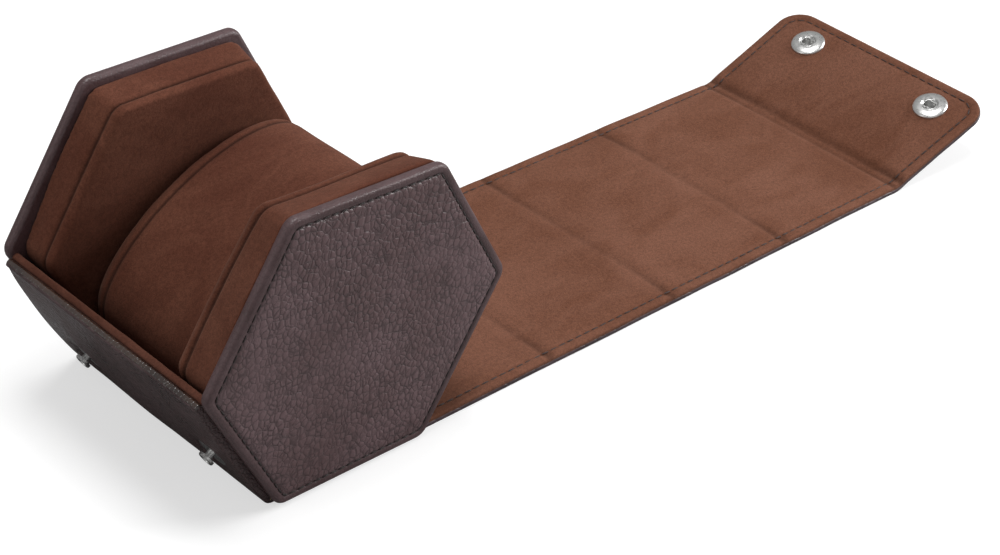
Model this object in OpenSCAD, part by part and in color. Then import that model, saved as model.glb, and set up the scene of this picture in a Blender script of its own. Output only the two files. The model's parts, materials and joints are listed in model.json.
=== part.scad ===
// Hexagonal travel case for one wristwatch, in millimetres.
// The prism's axis lies along Y and the case stands on its bottom wall, with the
// origin on the resting surface under the middle of the case. The cover flap is a
// strip of five panels: it leaves the case at the lower +X corner, lies on the
// surface along +X, and wraps round the case until its tip snaps onto the front
// wall on the -X side. Each hexagonal end has a leather panel and a suede pad, and
// a removable oval cushion sits between the pads.

/* [Case] */
// Height of the hexagonal end panels, from flat to flat
case_flats = 82; // [70:0.5:95]
// Length of the case over both end panels
case_length = 81; // [72:0.5:96]
// Radius of the six corners of an end panel
panel_corner = 4; // [2:0.5:7]

/* [End panels] */
// Thickness of an end panel
panel_t = 3; // [2.6:0.1:4]
// Thickness of the leather that covers an end panel
panel_leather_t = 1; // [0.8:0.1:1.2]
// Thickness of the leather that backs an end panel
panel_backing_t = 0.6; // [0.4:0.1:0.8]
// Rounding of an end panel's outer edge
panel_edge = 1; // [0.4:0.1:1.2]

/* [Pads] */
// Distance from an end panel's edge to the edge of its pad
pad_inset = 4.4; // [4.2:0.1:7]
// Radius of the six corners of a pad
pad_corner = 3.8; // [2.2:0.1:5]
// Thickness of a pad
pad_t = 10.8; // [8:0.1:12]
// Thickness of a pad's face piece
pad_face_t = 2.6; // [2.4:0.1:3.5]
// Thickness of the suede sleeve round a pad
pad_sleeve_t = 0.9; // [0.7:0.1:1.5]
// Crown at the middle of a pad's face
pad_crown = 0.5; // [0.3:0.05:0.8]
// Rounding of a pad's face edge
pad_edge = 1.8; // [1:0.1:2]

/* [Body walls] */
// Thickness of the wall and flap leather
leather_t = 1.3; // [1:0.1:1.6]
// Thickness of the board inside the walls
wall_board_t = 1.2; // [1:0.1:1.4]
// Thickness of the suede lining on the walls
wall_lining_t = 1.4; // [1:0.1:1.6]
// How far the front wall stands out past the end panels' edges
front_proud = 1.4; // [1:0.1:2]
// How far the bottom wall stands out past the end panels' edges
bottom_proud = 0.8; // [0.5:0.1:1.2]
// How far the back wall lies inside the end panels' edges
back_recess = 0.1; // [0:0.05:0.4]
// Drop from the middle of the case to the top edge of the walls
wall_drop = 2; // [1:0.1:5]
// Thickness of the leather turned over a wall's top edge
turned_edge = 1; // [0.8:0.1:1.6]

/* [Flap] */
// Width of the flap
flap_w = 80; // [70:0.5:81]
// Thickness of the stiffening board in the flap
flap_board_t = 0.4; // [0.3:0.05:0.8]
// Thickness of the suede lining on the flap
flap_lining_t = 0.7; // [0.5:0.05:1]
// Width of the leather lip along the flap's edges
flap_lip = 0.9; // [0.7:0.1:1.2]
// Gap between the closed flap and the end panels' edges
flap_gap = 0.1; // [0.1:0.05:0.3]
// Length of the flap's tip panel
tip_length = 43.5; // [41:0.1:43.5]
// Corner radius of the tip
tip_corner = 8.5; // [6:0.5:12]
// Angle at which the tip stands up while the flap lies open
tip_raise = 21; // [10:1:25]
// Slope cut from the panel ends, past half of each fold
crease_relief = 1.6; // [1:0.1:3]
// Gap between the leather of two panels along a fold line
crease_gap = 0.06; // [0.04:0.01:0.1]

/* [Snaps] */
// Distance between the two snap centres
snap_spacing = 50; // [40:0.5:56]
// Distance from the tip's crease to the snap centres
snap_reach = 32; // [28:0.5:34]
// Diameter of a snap socket
socket_d = 11; // [10:0.1:12]
// Height of a snap socket above the suede
socket_h = 1.6; // [1.5:0.05:2]
// Height of a snap socket's straight rim
socket_rim_h = 0.5; // [0.3:0.05:0.8]
// Bore of a snap socket
socket_bore = 4.8; // [4.6:0.1:5]
// Depth of the bore below the suede
bore_depth = 1; // [0.9:0.05:1]
// Diameter of the cap on the outside of the flap
cap_d = 12.4; // [11:0.1:13]
// Thickness of that cap
cap_t = 0.9; // [0.7:0.05:1.1]
// Height of that cap's straight rim
cap_rim_h = 0.25; // [0.1:0.05:0.5]
// Wall of the barrel that joins the cap to the socket
barrel_wall = 0.5; // [0.4:0.05:0.6]
// Diameter of a stud's flange
flange_d = 9; // [8:0.1:10]
// Thickness of a stud's flange
flange_t = 0.35; // [0.3:0.05:0.45]
// Diameter of a stud's head
head_d = 4.4; // [4:0.05:4.4]
// Diameter of a stud's neck
neck_d = 2.2; // [2:0.05:2.3]
// Height of a stud above its flange
stud_h = 2.5; // [2.3:0.05:2.55]
// Height of a stud's neck above its flange
neck_h = 1.4; // [1.2:0.05:1.5]
// Chamfer above and below the rim of a stud's head
head_chamfer = 0.25; // [0.15:0.05:0.3]
// Width of the ring round the hollow in a stud's head
head_ring = 0.75; // [0.6:0.05:0.9]
// Depth of the hollow in a stud's head
head_hollow = 0.6; // [0.4:0.05:0.8]
// Diameter of the plate behind a stud
plate_d = 8; // [7:0.1:9]
// Thickness of the plate behind a stud
plate_t = 0.5; // [0.4:0.05:0.6]
// Wire of the spring in a socket
spring_wire = 0.4; // [0.3:0.02:0.44]
// Gap between a socket and the flange of its stud when closed
snap_clearance = 0.15; // [0.1:0.05:0.4]
// Gap between a socket's spring and the neck of its stud when closed
spring_clearance = 0.15; // [0.1:0.05:0.2]
// Gap round a rivet or barrel in its hole
rivet_clearance = 0.05; // [0.02:0.01:0.15]

/* [Cushion] */
// Long axis of the cushion's oval
cushion_long = 72; // [60:0.5:72]
// Short axis of the cushion's oval
cushion_short = 34; // [28:0.5:38]
// Slope of the cushion's long axis, up to the back
cushion_tilt = 30; // [15:1:40]
// Gap between the cushion and each pad
cushion_gap = 0.3; // [0.2:0.05:0.6]
// Thickness of the cushion's suede cover
cushion_cover_t = 1; // [0.6:0.1:1.4]
// Rounding at the two ends of the cushion
cushion_edge = 6; // [4:0.5:8]
// How far the cushion's ends are drawn in
cushion_draw = 1; // [0.4:0.1:1.6]

/* [Hidden] */
$fn = 64;

// Directions of the faces' normals in the XZ section
FRONT = 210;
BOTTOM = 270;
BACK = 330;
UPPER_FRONT = 150;
fold = 60;

apothem = case_flats / 2;
centre_z = apothem + bottom_proud;
side = case_flats * tan(fold / 2);
panel_y = case_length / 2;
wall_y = panel_y - panel_t;
pad_apothem = apothem - pad_inset;
pad_y = wall_y - pad_t;
corner_steps = 6;
edge_steps = 4;

// Offsets of the wall layers from the end panels' edges, from outside to inside
function layers(outer) = [
    outer,
    outer - leather_t,
    outer - leather_t - wall_board_t,
    outer - leather_t - wall_board_t - wall_lining_t
];
front = layers(front_proud);
bottom = layers(bottom_proud);
back = layers(-back_recess);
wall_top_z = centre_z - wall_drop;
lining_top_z = wall_top_z - turned_edge;

// The flap folds about lines at the inner face of its leather
flap_t = leather_t + flap_board_t + flap_lining_t;
above_fold = flap_t - leather_t;
fold_depth = above_fold + flap_gap;
snap_gap = flange_t + socket_h + snap_clearance;
tip_depth = front_proud + snap_gap + above_fold;
crease_pitch = side + 2 * fold_depth * tan(fold / 2);
crease_0 = (apothem + fold_depth + (leather_t - centre_z) * sin(fold / 2)) / cos(fold / 2);
crease_1 = crease_0 + (centre_z - leather_t) / cos(fold / 2);
crease_2 = crease_1 + crease_pitch;
crease_3 = crease_2 + crease_pitch;
crease_4 = crease_3 + side + tip_depth / sin(fold);
end_slope = tan(fold / 2 + crease_relief);

// The spring lies round the middle of the stud's neck when closed
spring_z = above_fold + socket_h + snap_clearance - neck_h / 2;

// Distance of the snaps from the case's front corner, measured down the front wall
tip_start = tip_depth * tan(fold / 2) - fold_depth / cos(fold / 2);
stud_along = tip_start + snap_reach;
front_corner = meet(UPPER_FRONT, 0, FRONT, 0);

cushion_y = pad_y - pad_crown - cushion_gap;
cushion_seam_y = cushion_y - cushion_edge;
cushion_points = 36;

// Crossing of the face planes at angles a and b, pushed out by p and q
function meet(a, p, b, q) =
    let (d = sin(b - a), u = apothem + p, v = apothem + q)
    [(u * sin(b) - v * sin(a)) / d, centre_z + (v * cos(a) - u * cos(b)) / d];

// Point at height z on the face plane at angle a, pushed out by p
function at_height(a, p, z) =
    [(apothem + p - (z - centre_z) * sin(a)) / cos(a), z];

// Outline of a hexagon with rounded corners, round the origin
function hexagon(inradius, corner) = [
    for (k = [0 : 5], j = [0 : corner_steps])
        let (c = (inradius - corner) / cos(30), t = 60 * k - 30 + 60 * j / corner_steps)
        [c * cos(60 * k) + corner * cos(t), c * sin(60 * k) + corner * sin(t)]
];

// The outline as a ring of points in the plane at y, round the case's axis
function ring_at(outline, y) = [for (p = outline) [p[0], y, centre_z + p[1]]];

// Closed solid through a list of rings of equal length, from low y to high y
module skin(rings) {
    n = len(rings[0]);
    last = (len(rings) - 1) * n;
    points = [for (ring = rings) each ring];
    walls = [
        for (i = [0 : len(rings) - 2], j = [0 : n - 1])
            let (a = i * n + j, b = i * n + (j + 1) % n)
            each [[a, b + n, a + n], [a, b, b + n]]
    ];
    ends = [for (j = [1 : n - 2]) each [[0, j + 1, j], [last, last + j, last + j + 1]]];
    polyhedron(points = points, faces = concat(walls, ends), convexity = 4);
}

// Extrudes an outline drawn in the XZ section from y0 to y1
module along_y(y0, y1) {
    translate([0, y1, 0]) rotate([90, 0, 0]) linear_extrude(height = y1 - y0) children();
}

module hexagon_plate(inradius, corner, y0, y1) {
    along_y(y0, y1) translate([0, centre_z]) polygon(hexagon(inradius, corner));
}

module wall_layer(points) {
    along_y(-wall_y, wall_y) polygon(points);
}

// End panels and pads, drawn at the far end
module panel_leather() {
    rings = concat(
        [ring_at(hexagon(apothem, panel_corner), wall_y)],
        [for (k = [0 : edge_steps])
            let (t = 90 * k / edge_steps, inset = panel_edge * (1 - cos(t)))
            ring_at(hexagon(apothem - inset, panel_corner - inset),
                panel_y - panel_edge + panel_edge * sin(t))]
    );
    color("#463338") difference() {
        skin(rings);
        hexagon_plate(apothem - panel_leather_t, panel_corner - panel_leather_t,
            wall_y - 1, panel_y - panel_leather_t);
    }
}

module panel_board() {
    color("#9a8468") hexagon_plate(apothem - panel_leather_t, panel_corner - panel_leather_t,
        wall_y + panel_backing_t, panel_y - panel_leather_t);
}

module panel_backing() {
    color("#4f3634") hexagon_plate(apothem - panel_leather_t, panel_corner - panel_leather_t,
        wall_y, wall_y + panel_backing_t);
}

module pad_foam() {
    color("#d8c9a4") hexagon_plate(pad_apothem - pad_sleeve_t, pad_corner - pad_sleeve_t,
        pad_y + pad_face_t, wall_y);
}

module pad_sleeve() {
    color("#6d4534") difference() {
        hexagon_plate(pad_apothem, pad_corner, pad_y + pad_face_t, wall_y);
        hexagon_plate(pad_apothem - pad_sleeve_t, pad_corner - pad_sleeve_t,
            pad_y, wall_y + 1);
    }
}

module pad_face() {
    crown_inset = pad_apothem / 2;
    rings = concat(
        [ring_at(hexagon(pad_apothem - crown_inset, pad_corner / 2), pad_y - pad_crown)],
        [for (k = [edge_steps : -1 : 0])
            let (t = 90 * k / edge_steps, inset = pad_edge * (1 - cos(t)))
            ring_at(hexagon(pad_apothem - inset, pad_corner - inset),
                pad_y + pad_edge - pad_edge * sin(t))],
        [ring_at(hexagon(pad_apothem, pad_corner), pad_y + pad_face_t)]
    );
    color("#74493a") skin(rings);
}

module near() {
    mirror([0, 1, 0]) children();
}

// Body walls
module front_leather() {
    color("#4c3a3f") difference() {
        wall_layer([
            meet(FRONT, front[0], BOTTOM, bottom[0]),
            at_height(FRONT, front[0], wall_top_z),
            at_height(FRONT, front[2], wall_top_z),
            at_height(FRONT, front[2], lining_top_z),
            at_height(FRONT, front[1], lining_top_z),
            meet(FRONT, front[1], BOTTOM, bottom[1])
        ]);
        at_studs() translate([0, 0, -leather_t - 1])
            cylinder(d = neck_d + 2 * rivet_clearance, h = leather_t + 2);
    }
}

module front_board() {
    color("#9a8468") difference() {
        wall_layer([
            meet(FRONT, front[1], BOTTOM, bottom[1]),
            at_height(FRONT, front[1], lining_top_z),
            at_height(FRONT, front[2], lining_top_z),
            meet(FRONT, front[2], BOTTOM, bottom[2])
        ]);
        at_studs() {
            translate([0, 0, -leather_t - wall_board_t - 1])
                cylinder(d = neck_d + 2 * rivet_clearance, h = wall_board_t + 2);
            translate([0, 0, -leather_t - wall_board_t - 1])
                cylinder(d = plate_d + 2 * rivet_clearance, h = plate_t + 1);
        }
    }
}

module front_lining() {
    color("#74493a") wall_layer([
        meet(FRONT, front[2], BOTTOM, bottom[2]),
        at_height(FRONT, front[2], lining_top_z),
        at_height(FRONT, front[3], lining_top_z),
        meet(FRONT, front[3], BOTTOM, bottom[3])
    ]);
}

// The bottom leather runs on past the back wall to the flap's first fold line
module bottom_leather() {
    color("#463338") wall_layer([
        meet(FRONT, front[0], BOTTOM, bottom[0]),
        meet(FRONT, front[1], BOTTOM, bottom[1]),
        [crease_0 - crease_gap / 2, leather_t],
        [crease_0 - crease_gap / 2, 0]
    ]);
}

module bottom_board() {
    color("#9a8468") wall_layer([
        meet(FRONT, front[1], BOTTOM, bottom[1]),
        meet(FRONT, front[2], BOTTOM, bottom[2]),
        meet(BACK, back[2], BOTTOM, bottom[2]),
        meet(BACK, back[1], BOTTOM, bottom[1])
    ]);
}

module bottom_lining() {
    color("#74493a") wall_layer([
        meet(FRONT, front[2], BOTTOM, bottom[2]),
        meet(FRONT, front[3], BOTTOM, bottom[3]),
        meet(BACK, back[3], BOTTOM, bottom[3]),
        meet(BACK, back[2], BOTTOM, bottom[2])
    ]);
}

module back_leather() {
    color("#463338") wall_layer([
        meet(BACK, back[0], BOTTOM, bottom[1]),
        at_height(BACK, back[0], wall_top_z),
        at_height(BACK, back[2], wall_top_z),
        at_height(BACK, back[2], lining_top_z),
        at_height(BACK, back[1], lining_top_z),
        meet(BACK, back[1], BOTTOM, bottom[1])
    ]);
}

module back_board() {
    color("#9a8468") wall_layer([
        meet(BACK, back[1], BOTTOM, bottom[1]),
        at_height(BACK, back[1], lining_top_z),
        at_height(BACK, back[2], lining_top_z),
        meet(BACK, back[2], BOTTOM, bottom[2])
    ]);
}

module back_lining() {
    color("#74493a") wall_layer([
        meet(BACK, back[2], BOTTOM, bottom[2]),
        at_height(BACK, back[2], lining_top_z),
        at_height(BACK, back[3], lining_top_z),
        meet(BACK, back[3], BOTTOM, bottom[3])
    ]);
}

// Frame at each stud, with Z out of the front wall from the leather's surface
module at_studs() {
    x = front_corner[0] + stud_along * cos(FRONT + 90) + front_proud * cos(FRONT);
    z = front_corner[1] + stud_along * sin(FRONT + 90) + front_proud * sin(FRONT);
    for (s = [-1, 1])
        translate([x, s * snap_spacing / 2, z]) rotate([0, 90 - FRONT, 0]) children();
}

module snap_studs() {
    neck = neck_d / 2;
    head = head_d / 2;
    top = flange_t + stud_h;
    wall = leather_t + wall_board_t - plate_t;
    color("#c9c9c6") at_studs() rotate_extrude() polygon([
        [0, -wall],
        [neck, -wall],
        [neck, 0],
        [flange_d / 2, 0],
        [flange_d / 2, flange_t],
        [neck, flange_t],
        [neck, flange_t + neck_h],
        [head, flange_t + neck_h + head_chamfer],
        [head, top - head_chamfer],
        [head - head_chamfer, top],
        [head - head_ring, top],
        [head - head_ring - head_hollow / 2, top - head_hollow],
        [0, top - head_hollow]
    ]);
}

module stud_plates() {
    color("#b9a06a") at_studs() translate([0, 0, -leather_t - wall_board_t])
        cylinder(d = plate_d, h = plate_t);
}

// A flap layer between two fold lines, cut back above the fold line at its far
// end, and at its near end too unless cut0 is 0
function panel_section(x0, x1, z0, z1, cut0) =
    let (a = x0 + crease_gap / 2, b = x1 - crease_gap / 2)
    [
        [a + cut0 * z0 * end_slope, z0],
        [b - z0 * end_slope, z0],
        [b - z1 * end_slope, z1],
        [a + cut0 * z1 * end_slope, z1]
    ];

// Flap layers have z measured from the fold line, and the leather lies below 0
module panel_layer(x0, x1, z0, z1, half_w, cut0) {
    translate([0, 0, leather_t])
        along_y(-half_w, half_w) polygon(panel_section(x0, x1, z0, z1, cut0));
}

module flap_leather(x0, x1, cut0 = 1) {
    color("#463338") {
        translate([x0 + crease_gap / 2, -flap_w / 2, 0])
            cube([x1 - x0 - crease_gap, flap_w, leather_t]);
        for (s = [0, 1]) mirror([0, s, 0]) translate([0, 0, leather_t])
            along_y(flap_w / 2 - flap_lip, flap_w / 2)
                polygon(panel_section(x0, x1, 0, above_fold, cut0));
    }
}

module flap_board(x0, x1, cut0 = 1) {
    color("#9a8468")
        panel_layer(x0, x1, 0, flap_board_t, flap_w / 2 - flap_lip, cut0);
}

module flap_lining(x0, x1, cut0 = 1) {
    color("#7a4d38")
        panel_layer(x0, x1, flap_board_t, above_fold, flap_w / 2 - flap_lip, cut0);
}

// The tip has its own frame: origin on its fold line, X along the tip
module at_tip() {
    translate([crease_4, 0, leather_t]) rotate([0, -tip_raise, 0]) children();
}

// Plan outline of the tip, drawn in from the edge by inset
module tip_outline(inset) {
    r = tip_corner - inset;
    half = flap_w / 2 - inset;
    far_x = tip_length - inset;
    polygon(concat(
        [[crease_gap / 2, half], [crease_gap / 2, -half]],
        [for (j = [0 : corner_steps]) let (t = -90 + 90 * j / corner_steps)
            [far_x - r + r * cos(t), -half + r + r * sin(t)]],
        [for (j = [0 : corner_steps]) let (t = 90 * j / corner_steps)
            [far_x - r + r * cos(t), half - r + r * sin(t)]]
    ));
}

// Cuts the crease end of a tip layer back above the fold line
module tip_relief() {
    along_y(-flap_w, flap_w)
        polygon([[-1, 0], [0, 0], [2 * above_fold * end_slope, 2 * above_fold], [-1, 2 * above_fold]]);
}

module at_sockets() {
    at_tip() for (s = [-1, 1])
        translate([snap_reach, s * snap_spacing / 2, 0]) children();
}

module barrel_holes() {
    at_sockets() translate([0, 0, -leather_t - 1])
        cylinder(d = socket_bore + 2 * barrel_wall + 2 * rivet_clearance, h = flap_t + 2);
}

module tip_leather() {
    color("#463338") difference() {
        at_tip() {
            translate([0, 0, -leather_t]) linear_extrude(leather_t) tip_outline(0);
            difference() {
                linear_extrude(above_fold) difference() {
                    tip_outline(0);
                    translate([-flap_lip, 0]) tip_outline(flap_lip);
                    tip_outline(flap_lip);
                }
                tip_relief();
            }
        }
        barrel_holes();
    }
}

module tip_layer(z0, z1) {
    difference() {
        at_tip() difference() {
            translate([0, 0, z0]) linear_extrude(z1 - z0) tip_outline(flap_lip);
            tip_relief();
        }
        barrel_holes();
    }
}

module tip_board() {
    color("#9a8468") tip_layer(0, flap_board_t);
}

module tip_lining() {
    color("#7a4d38") tip_layer(flap_board_t, above_fold);
}

// Profile of a round rim at radius r: up from z0 to z1, then rounded in by run to z2
function dome(r, z0, z1, z2, run) = [
    [r, z0],
    each [for (t = [0 : 15 : 90]) [r - run * (1 - cos(t)), z1 + (z2 - z1) * sin(t)]]
];

// Snap fittings on the tip
module snap_sockets() {
    bore = socket_bore / 2;
    rim = socket_d / 2;
    mouth = (rim - bore) / 8;
    color("#d0d0cd") at_sockets() translate([0, 0, above_fold]) rotate_extrude() polygon([
        [bore, 0],
        each dome(rim, 0, socket_rim_h, socket_h, rim - bore - mouth),
        [bore, socket_h - mouth]
    ]);
}

module socket_springs() {
    wire = spring_wire / 2;
    ring = socket_bore / 2 - wire - rivet_clearance;
    bar_x = neck_d / 2 + wire + spring_clearance;
    bar = sqrt(ring * ring - bar_x * bar_x);
    color("#a9a9a6") at_sockets() translate([0, 0, spring_z]) {
        rotate_extrude() translate([ring, 0]) circle(wire, $fn = 16);
        for (s = [-1, 1])
            translate([s * bar_x, bar, 0]) rotate([90, 0, 0]) cylinder(r = wire, h = 2 * bar, $fn = 16);
    }
}

module snap_caps() {
    barrel = socket_bore / 2 + barrel_wall;
    cap = cap_d / 2;
    floor_z = above_fold - bore_depth;
    color("#8d8d8a") at_sockets() rotate_extrude() polygon([
        [0, floor_z],
        [socket_bore / 2, floor_z],
        [socket_bore / 2, above_fold],
        [barrel, above_fold],
        [barrel, -leather_t],
        each dome(cap, -leather_t, -leather_t - cap_rim_h, -leather_t - cap_t, cap / 3),
        [0, -leather_t - cap_t]
    ]);
}

// Oval section of the cushion, drawn in from its full size, as a ring at y
function oval_ring(inset, y) = [
    for (k = [0 : cushion_points - 1])
        let (t = 360 * k / cushion_points,
            u = (cushion_long / 2 - inset) * cos(t),
            v = (cushion_short / 2 - inset) * sin(t))
        [u * cos(cushion_tilt) - v * sin(cushion_tilt), y,
            centre_z + u * sin(cushion_tilt) + v * cos(cushion_tilt)]
];

// Cushion with its middle crowned and its ends drawn in and rounded
module cushion(inset) {
    half = cushion_y - inset;
    round = cushion_edge - inset;
    flat = half - round;
    ends = [for (k = [0 : edge_steps]) let (t = 90 * k / edge_steps)
        [flat + round * sin(t), inset + cushion_draw + round * (1 - cos(t))]];
    middle = [for (k = [1 : 3]) [flat * k / 4, inset + cushion_draw * pow(k / 4, 2)]];
    halves = concat([[0, inset]], middle, ends);
    count = len(halves);
    skin(concat(
        [for (k = [count - 1 : -1 : 1]) oval_ring(halves[k][1], -halves[k][0])],
        [for (k = [0 : count - 1]) oval_ring(halves[k][1], halves[k][0])]
    ));
}

// Part of the cushion's cover between y0 and y1
module cushion_cover(y0, y1) {
    difference() {
        intersection() {
            cushion(0);
            translate([-case_flats, y0, 0]) cube([2 * case_flats, y1 - y0, 2 * case_flats]);
        }
        cushion(cushion_cover_t);
    }
}

// The cover is a sleeve sewn to two oval ends
module cushion_sleeve() {
    color("#6d4534") cushion_cover(-cushion_seam_y, cushion_seam_y);
}

module cushion_end(y0, y1) {
    color("#74493a") cushion_cover(y0, y1);
}

module cushion_core() {
    color("#d8c9a4") cushion(cushion_cover_t);
}

near() panel_leather();  // near_panel_leather
near() panel_board();  // near_panel_board
near() panel_backing();  // near_panel_backing
near() pad_foam();  // near_pad_foam
near() pad_sleeve();  // near_pad_sleeve
near() pad_face();  // near_pad_face
panel_leather();  // far_panel_leather
panel_board();  // far_panel_board
panel_backing();  // far_panel_backing
pad_foam();  // far_pad_foam
pad_sleeve();  // far_pad_sleeve
pad_face();  // far_pad_face
front_leather();
front_board();
front_lining();
bottom_leather();
bottom_board();
bottom_lining();
back_leather();
back_board();
back_lining();
snap_studs();
stud_plates();
flap_leather(crease_0, crease_1, 0);  // flap_1_leather
flap_board(crease_0, crease_1, 0);  // flap_1_board
flap_lining(crease_0, crease_1, 0);  // flap_1_lining
flap_leather(crease_1, crease_2);  // flap_2_leather
flap_board(crease_1, crease_2);  // flap_2_board
flap_lining(crease_1, crease_2);  // flap_2_lining
flap_leather(crease_2, crease_3);  // flap_3_leather
flap_board(crease_2, crease_3);  // flap_3_board
flap_lining(crease_2, crease_3);  // flap_3_lining
flap_leather(crease_3, crease_4);  // flap_4_leather
flap_board(crease_3, crease_4);  // flap_4_board
flap_lining(crease_3, crease_4);  // flap_4_lining
tip_leather();
tip_board();
tip_lining();
snap_sockets();
socket_springs();
snap_caps();
cushion_sleeve();
cushion_end(-2 * cushion_y, -cushion_seam_y);  // cushion_near_end
cushion_end(cushion_seam_y, 2 * cushion_y);  // cushion_far_end
cushion_core();
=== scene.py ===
import json
import math
import bmesh
import bpy
import numpy as np
from mathutils import Matrix, Vector, noise


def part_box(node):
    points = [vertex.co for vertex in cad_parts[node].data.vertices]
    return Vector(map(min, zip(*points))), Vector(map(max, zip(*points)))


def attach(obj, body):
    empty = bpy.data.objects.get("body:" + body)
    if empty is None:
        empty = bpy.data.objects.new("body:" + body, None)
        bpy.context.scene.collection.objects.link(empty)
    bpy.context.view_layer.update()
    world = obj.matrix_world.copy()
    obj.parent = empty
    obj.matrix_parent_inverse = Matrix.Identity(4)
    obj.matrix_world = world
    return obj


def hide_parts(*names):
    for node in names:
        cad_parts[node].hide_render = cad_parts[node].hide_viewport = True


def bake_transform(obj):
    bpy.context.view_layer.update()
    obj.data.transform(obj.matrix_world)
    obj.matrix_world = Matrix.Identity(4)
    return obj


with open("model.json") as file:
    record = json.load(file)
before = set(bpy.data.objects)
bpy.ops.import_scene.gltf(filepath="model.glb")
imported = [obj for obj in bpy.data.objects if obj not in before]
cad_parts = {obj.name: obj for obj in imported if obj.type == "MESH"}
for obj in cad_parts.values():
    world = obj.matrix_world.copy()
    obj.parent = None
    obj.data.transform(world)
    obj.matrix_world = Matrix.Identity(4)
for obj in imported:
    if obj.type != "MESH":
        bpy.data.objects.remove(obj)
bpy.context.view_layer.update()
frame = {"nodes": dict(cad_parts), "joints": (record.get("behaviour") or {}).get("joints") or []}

# -------- sizes, in metres
# Read from the CAD frame, or the same as in the CAD source, or fitted to the photo
MM = 0.001
TURN = math.radians(60)
TINY = 1e-5
ENDS = (("near", -1), ("far", 1))

panel_low, panel_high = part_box("far_panel_leather")
apothem = (panel_high[2] - panel_low[2]) / 2
centre_z = (panel_high[2] + panel_low[2]) / 2
wall_y = panel_low[1]
panel_y = panel_high[1]
panel_corner = 4 * MM

pad_low, pad_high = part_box("far_pad_sleeve")
pad_apothem = (pad_high[2] - pad_low[2]) / 2
pad_corner = 3.8 * MM
pad_seam_y = pad_low[1]
pad_face_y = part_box("far_pad_face")[0][1]

creases = [joint["pos_m"][0] for joint in sorted(
    (j for j in frame["joints"] if j["name"].startswith("crease")), key=lambda j: j["name"])]
fold_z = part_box("bottom_leather")[1][2]
flap_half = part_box("flap_2_leather")[1][1]
flap_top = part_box("flap_2_lining")[1][2]
tip_raise = math.radians(21)
plate_half = 4.5 * MM
snap_reach, snap_half = 32 * MM, 25 * MM
cushion_tilt = math.radians(30)
cushion_long, cushion_short = 36 * MM, 17 * MM
cushion_round = 5.2 * MM
near_edge_in, far_edge_out = 1.7 * MM, 0.5 * MM
barrel_hole = 2.95 * MM
tip_length = 43.5 * MM
tip_corner = 8.5 * MM


# -------- modelling helpers
def only(obj):
    """Select this object alone and make it active."""
    bpy.ops.object.select_all(action="DESELECT")
    obj.select_set(True)
    bpy.context.view_layer.objects.active = obj


def named(name):
    obj = bpy.context.active_object
    obj.name = name
    obj.data.name = name
    only(obj)
    return obj


def pick(obj, kind, test):
    """In edit mode, select edges by a test of their ends, or faces by one of middle and normal."""
    bpy.ops.mesh.select_all(action="DESELECT")
    bpy.ops.mesh.select_mode(type={"edges": "EDGE", "faces": "FACE"}[kind])
    mesh = bmesh.from_edit_mesh(obj.data)
    for item in getattr(mesh, kind):
        if kind == "faces":
            item.select_set(test(item.calc_center_median(), item.normal))
        else:
            item.select_set(test(item.verts[0].co, item.verts[1].co))
    mesh.select_flush_mode()
    bmesh.update_edit_mesh(obj.data)


def edit(obj):
    only(obj)
    bpy.ops.object.mode_set(mode="EDIT")


def leave():
    bpy.ops.object.mode_set(mode="OBJECT")


def select_whole():
    bpy.ops.mesh.select_all(action="SELECT")


def extrude_along(y):
    """In edit mode, draw the selection out along the axis of the case."""
    bpy.ops.mesh.extrude_region_move(TRANSFORM_OT_translate={"value": (0, y, 0)})


def round_edges(offset, segments):
    bpy.ops.mesh.bevel(offset=offset, segments=segments, affect="EDGES")


def settle(obj):
    """Bake the object's place into its mesh."""
    only(obj)
    bpy.ops.object.transform_apply(location=True, rotation=True, scale=True)


def apply_all(obj):
    only(obj)
    for modifier in list(obj.modifiers):
        bpy.ops.object.modifier_apply(modifier=modifier.name)


def tidy_normals(obj):
    edit(obj)
    select_whole()
    bpy.ops.mesh.remove_doubles(threshold=1e-6)
    bpy.ops.mesh.normals_make_consistent(inside=False)
    leave()


def points_of(obj):
    co = np.empty(len(obj.data.vertices) * 3)
    obj.data.vertices.foreach_get("co", co)
    return co.reshape(-1, 3)


def move_points(obj, co):
    obj.data.vertices.foreach_set("co", np.asarray(co, float).ravel())
    obj.data.update()


def smooth(obj, angle=40):
    only(obj)
    bpy.ops.object.shade_smooth_by_angle(angle=math.radians(angle))


def lay_grain(obj, co=None):
    """Keep where each point of the hide or cloth lies, so that its grain moves with it."""
    co = points_of(obj) if co is None else co
    place = obj.data.attributes.new("grain_place", "FLOAT_VECTOR", "POINT")
    place.data.foreach_set("vector", np.asarray(co, np.float32).ravel())


def lay_shade(obj, amount):
    """Keep how deep each point lies in a seam or a fold, 0 to 1, where painted shade darkens the
    colour.
    """
    shade = obj.data.attributes.new("shade_line", "FLOAT", "POINT")
    shade.data.foreach_set("value", np.asarray(amount, np.float32).ravel())


def sideways(x, z):
    """Unit directions across the axis of the case, from its middle towards each point."""
    way = np.stack([x, np.zeros(len(x)), z], axis=1)
    return way / np.maximum(np.linalg.norm(way, axis=1, keepdims=True), 1e-9)


def lanes(co):
    """The place of each point across the flap or along the case alone."""
    return co * np.array([0, 1, 0])


def finish(obj, materials, body, angle, replaced=()):
    """Give the piece its grain, smooth shading and materials; attach it to a named body, or bake
    its place into its mesh when body is a number; hide the CAD pieces it replaces.
    """
    if "grain_place" not in obj.data.attributes:
        lay_grain(obj)
    smooth(obj, angle)
    for material in materials:
        obj.data.materials.append(material)
    if isinstance(body, int):
        hang(obj)
    elif body:
        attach(obj, body)
    if replaced:
        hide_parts(*replaced)
    return obj


def second_material(obj, chosen):
    """Give the chosen faces the second of the piece's materials."""
    for face, second in zip(obj.data.polygons, chosen):
        face.material_index = int(second)


def wave(co, size, seed=0.0):
    """Smooth noise from -1 to 1 at each point, with waves of about this size."""
    shift = Vector((seed, 0.37 * seed, 1.7 * seed))
    return np.array([noise.noise(Vector(p) / size + shift) for p in co])


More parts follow.
